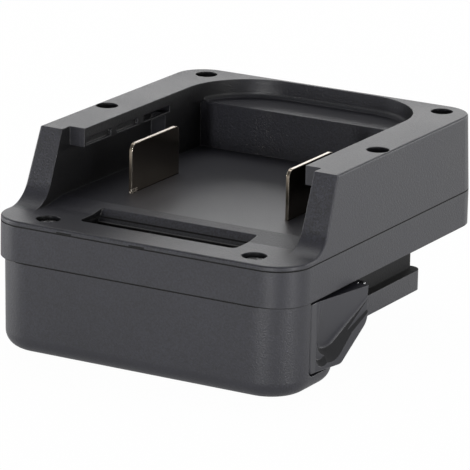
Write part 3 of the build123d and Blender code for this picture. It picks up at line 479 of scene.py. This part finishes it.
# Contact blades
# Two blades stamped from nickel-plated strip, with a painted highlight along the cut edges.
# Each is pressed into the carrier below the floor of the receiver.
def metal(name, tone, dull_tone, edge_glint_tone, roughness, streak_scale):
    edge_reach = 0.00025
    edge_amount = 2.0
    streaks_per_metre = 900.0
    stains_per_metre = 140.0
    smoothest_share = 0.7
    roughest_share = 1.4
    relief_depth = 0.00002
    material = bpy.data.materials.new(name)
    material.use_nodes = True
    tree = material.node_tree
    surface = tree.nodes["Principled BSDF"]
    surface.inputs["Metallic"].default_value = 1.0
    place = add_node(tree, "ShaderNodeTexCoord").outputs["Object"]
    stretch = add_node(tree, "ShaderNodeMapping", None, {"Vector": place, "Scale": streak_scale})
    streaks = noise(tree, stretch.outputs["Vector"], streaks_per_metre, detail=4.0, roughness=0.6)
    stains = noise(tree, place, stains_per_metre, detail=5.0)
    face_colour = mixed(tree, stains, tone, dull_tone)
    edge_wear_and_sheen_node = add_node(
        tree, "ShaderNodeGroup", {"node_tree": edge_wear_and_sheen}, {"Reach": edge_reach, "Amount": edge_amount}
    )
    # Painted highlight: the edges of the metal are painted a lighter tone, in patches, as glints along
    # them.
    colour = mixed(tree, edge_wear_and_sheen_node.outputs["Worn And Sheen"], face_colour, edge_glint_tone)
    streaky_roughness = fade(
        tree, streaks, 0.3, 0.7, roughness * smoothest_share, roughness * roughest_share
    )
    bump = add_node(
        tree, "ShaderNodeBump", None,
        {
            "Strength": 0.15, "Distance": relief_depth, "Height": streaks,
            "Normal": edge_wear_and_sheen_node.outputs["Rounded"],
        },
    )
    tree.links.new(colour, surface.inputs["Base Color"])
    tree.links.new(streaky_roughness, surface.inputs["Roughness"])
    tree.links.new(bump.outputs["Normal"], surface.inputs["Normal"])
    return material


blade_nickel = metal(
    "blade_nickel", tone=(0.3, 0.26, 0.21, 1), dull_tone=(0.2, 0.165, 0.13, 1),
    edge_glint_tone=(0.9, 0.83, 0.72, 1), roughness=0.16, streak_scale=(1, 1, 8)
)

# Sliding packs on and off has scratched the foot of the left blade's front edge.
scratched_middle = (-0.0207, -0.0131, 0.0317)
scratched_half = (0.0012, 0.0013, 0.0016)
scratches_per_metre = 3200.0
scratch_tone = (0.95, 0.88, 0.78, 1)
scratch_roughness = 0.6
blade_tree = blade_nickel.node_tree
blade_surface = blade_tree.nodes["Principled BSDF"]
blade_place = add_node(blade_tree, "ShaderNodeTexCoord").outputs["Object"]
at_blade_foot = inside_box(blade_tree, blade_place, scratched_middle, scratched_half)
scratch_pattern = noise(blade_tree, blade_place, scratches_per_metre, detail=2.0)
scratch_lines = fade(blade_tree, scratch_pattern, 0.5, 0.6, 0.0, 1.0)
scratches = calculate(blade_tree, "MULTIPLY", at_blade_foot, scratch_lines)
blade_colour = mixed(
    blade_tree, scratches, source_of(blade_surface.inputs["Base Color"]), scratch_tone
)
blade_roughness = calculate(
    blade_tree, "MULTIPLY_ADD", scratches, scratch_roughness,
    source_of(blade_surface.inputs["Roughness"])
)
blade_tree.links.new(blade_colour, blade_surface.inputs["Base Color"])
blade_tree.links.new(blade_roughness, blade_surface.inputs["Roughness"])
dress(blade_nickel, "left_blade", "right_blade")


# Screws
# Cross-head steel screws. Black ones, sunk in the deck and the wall tops, hold the casings
# together. Zinc-plated ones hold the front box and the board from inside.
screw_black = metal(
    "screw_black", tone=(0.32, 0.32, 0.325, 1), dull_tone=(0.16, 0.16, 0.165, 1),
    edge_glint_tone=(0.8, 0.8, 0.82, 1), roughness=0.3, streak_scale=(1, 1, 1)
)
dress(screw_black, "deck_screws", "wall_screws", "rear_screws")
screw_zinc = metal(
    "screw_zinc", tone=(0.7, 0.71, 0.72, 1), dull_tone=(0.55, 0.56, 0.58, 1),
    edge_glint_tone=(0.8, 0.8, 0.82, 1), roughness=0.3, streak_scale=(1, 1, 1)
)
dress(screw_zinc, "box_screws", "board_screws")


# Latch hooks, pins and springs
# Each button carries a hook of spring steel, held in its recess by a steel pin.
# A coil spring of drawn wire stands behind each button and pushes it out.
hook_steel = metal(
    "hook_steel", tone=(0.3, 0.3, 0.31, 1), dull_tone=(0.2, 0.2, 0.21, 1),
    edge_glint_tone=(0.85, 0.85, 0.86, 1), roughness=0.25, streak_scale=(1, 6, 1)
)
dress(hook_steel, "left_latch_hook", "right_latch_hook", "left_hook_pin", "right_hook_pin")
wire_steel = metal(
    "wire_steel", tone=(0.66, 0.67, 0.7, 1), dull_tone=(0.5, 0.5, 0.52, 1),
    edge_glint_tone=(0.8, 0.8, 0.82, 1), roughness=0.28, streak_scale=(4, 1, 1)
)
dress(wire_steel, "left_button_spring", "right_button_spring")


# Blade carrier, circuit board, contact block and their leads
# A glass-filled nylon carrier holds the blades on a green board that is screwed in its place.
# Brass forks stand in a block below, and short soldered leads join them to the board.
carrier_nylon = plastic(
    "carrier_nylon", tone=(0.015, 0.015, 0.016, 1), edge_wear_and_sheen_tone=(0.05, 0.05, 0.05, 1),
    grain_size=0.0005, grain_depth=0.00004, roughness=0.5
)
dress(carrier_nylon, "blade_carrier", "contact_block", "control_chip", "power_transistors")
board_green = plastic(
    "board_green", tone=(0.012, 0.11, 0.045, 1), edge_wear_and_sheen_tone=(0.35, 0.36, 0.24, 1),
    grain_size=0.0008, grain_depth=0.00002, roughness=0.3
)
dress(board_green, "circuit_board")
contact_brass = metal(
    "contact_brass", tone=(0.8, 0.6, 0.28, 1), dull_tone=(0.62, 0.42, 0.2, 1),
    edge_glint_tone=(0.9, 0.72, 0.4, 1), roughness=0.25, streak_scale=(1, 4, 1)
)
dress(contact_brass, "left_output_contact", "right_output_contact", "signal_contacts")
for lead_name, lead_tone in (
    ("left_lead", (0.012, 0.012, 0.012, 1)),
    ("right_lead", (0.35, 0.015, 0.01, 1)),
    ("signal_leads", (0.6, 0.6, 0.56, 1)),
):
    lead_pvc = plastic(
        lead_name + "_pvc", tone=lead_tone, edge_wear_and_sheen_tone=lead_tone,
        grain_size=0.0006, grain_depth=0.00002, roughness=0.4
    )
    dress(lead_pvc, lead_name)
